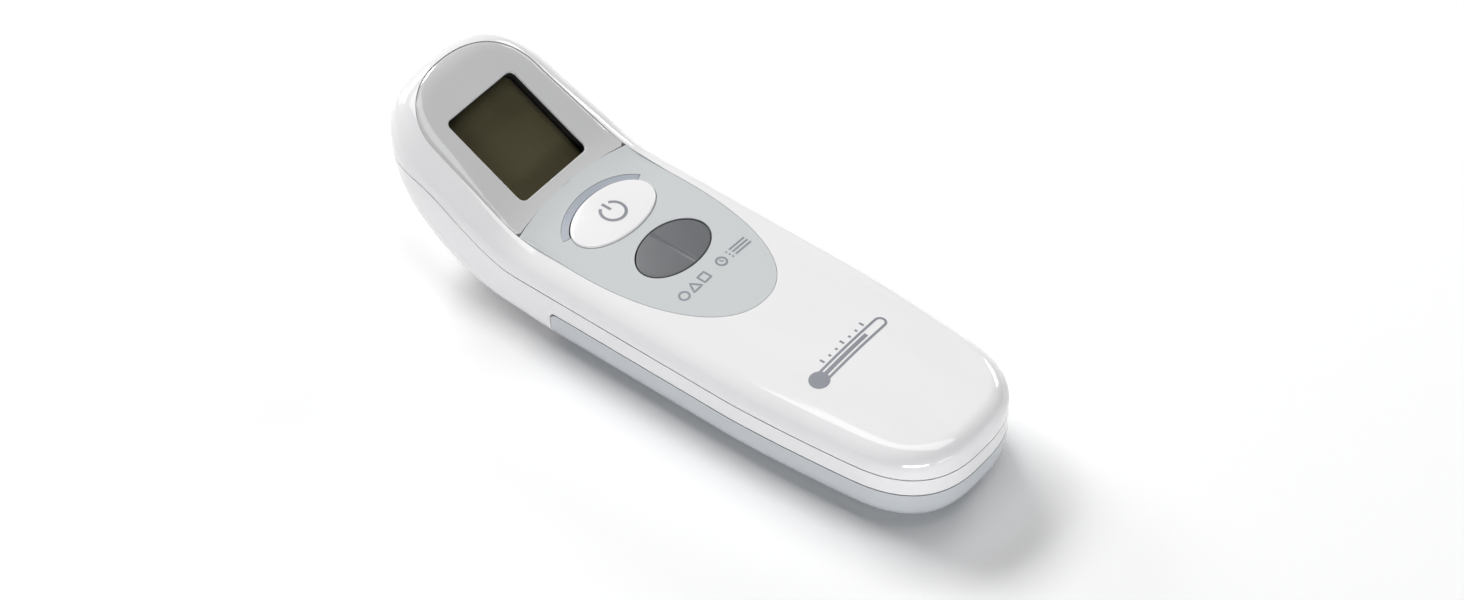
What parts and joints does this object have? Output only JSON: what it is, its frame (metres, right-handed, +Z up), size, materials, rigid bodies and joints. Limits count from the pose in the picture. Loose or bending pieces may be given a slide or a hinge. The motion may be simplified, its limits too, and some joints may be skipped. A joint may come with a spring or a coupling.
{
  "type": "digital ear thermometer",
  "caption": "Hand-held infrared ear thermometer: flat handle with keys and slide-off battery cover, raised display head and a short ear probe under it.",
  "frame": {"origin": "on the resting plane, under the middle of the whole object", "axes": "+Y from the tail to the display head, +Z up out of the key panel, +X to the right seen from the tail"},
  "size_m": [0.043, 0.145, 0.0362],
  "materials": {
    "white_shell": "glossy moulded white plastic",
    "white_key": "glossy moulded white plastic",
    "cover_plastic": "fine satin grey plastic",
    "panel_plastic": "satin pale grey plastic",
    "bezel_plastic": "glossy grey plastic",
    "clear_window": "clear polished plastic pane",
    "light_guide_plastic": "translucent grey-blue plastic",
    "dark_key": "satin dark grey plastic",
    "lcd": "unlit olive liquid crystal display",
    "backlight_plastic": "white light spreader",
    "black_plastic": "matt black plastic",
    "circuit_board": "green solder mask",
    "flex_film": "amber polyimide film",
    "steel": "plated steel",
    "nickel": "nickel plated steel",
    "led_resin": "clear epoxy",
    "cell_label": "printed battery sleeve",
    "probe_glass": "infrared window",
    "gold": "gold plated",
    "brass": "machined brass",
    "rubber": "silicone ring"
  },
  "bodies": {
    "body": {"battery_cell_left": "cell_label", "battery_cell_right": "cell_label", "battery_tray": "black_plastic", "board_screw_left": "steel", "board_screw_right": "steel", "bridge_contact": "nickel", "bridge_spring": "nickel", "crystal_can": "steel", "display_bezel": "bezel_plastic", "display_board": "circuit_board", "display_flex": "flex_film", "display_window": "clear_window", "fever_led_left": "led_resin", "fever_led_right": "led_resin", "fever_light_guide": "light_guide_plastic", "front_shell": "white_shell", "housing_screw_1": "steel", "housing_screw_2": "steel", "housing_screw_3": "steel", "housing_screw_4": "steel", "keypad_panel": "panel_plastic", "lcd_backlight": "backlight_plastic", "lcd_frame": "black_plastic", "lcd_glass": "lcd", "main_board": "circuit_board", "memory_snap_dome": "steel", "mode_snap_dome": "steel", "negative_contact": "nickel", "negative_spring": "nickel", "piezo_buzzer": "black_plastic", "positive_contact": "nickel", "power_snap_dome": "steel", "probe_collar": "cover_plastic", "probe_cone": "white_shell", "probe_seal": "rubber", "probe_tip_ring": "light_guide_plastic", "probe_window": "probe_glass", "processor_chip": "black_plastic", "rear_shell": "white_shell", "sensor_board": "circuit_board", "sensor_flex": "flex_film", "sensor_holder": "brass", "thermopile_sensor": "nickel", "wave_guide_tube": "gold"},
    "power_key": {"power_button": "white_key"},
    "rocker_key": {"mode_memory_rocker": "dark_key"},
    "cover": {"battery_cover": "cover_plastic"}
  },
  "joints": [
    {"name": "power_press", "type": "slide", "parent": "body", "child": "power_key", "axis": [0, 0, -1], "range_m": [0, 0.0007], "stiffness_N_per_m": 1500, "deforming": ["power_snap_dome"]},
    {"name": "rocker_tilt", "type": "hinge", "parent": "body", "child": "rocker_key", "pos_m": [0, 0.00443, 0.016], "axis": [0, 1, 0], "range_deg": [-3, 3], "stiffness_Nm_per_rad": 0.3, "deforming": ["mode_snap_dome", "memory_snap_dome"]},
    {"name": "cover_slide", "type": "slide", "parent": "body", "child": "cover", "axis": [0, -1, 0], "range_m": [0, 0.092]}
  ]
}
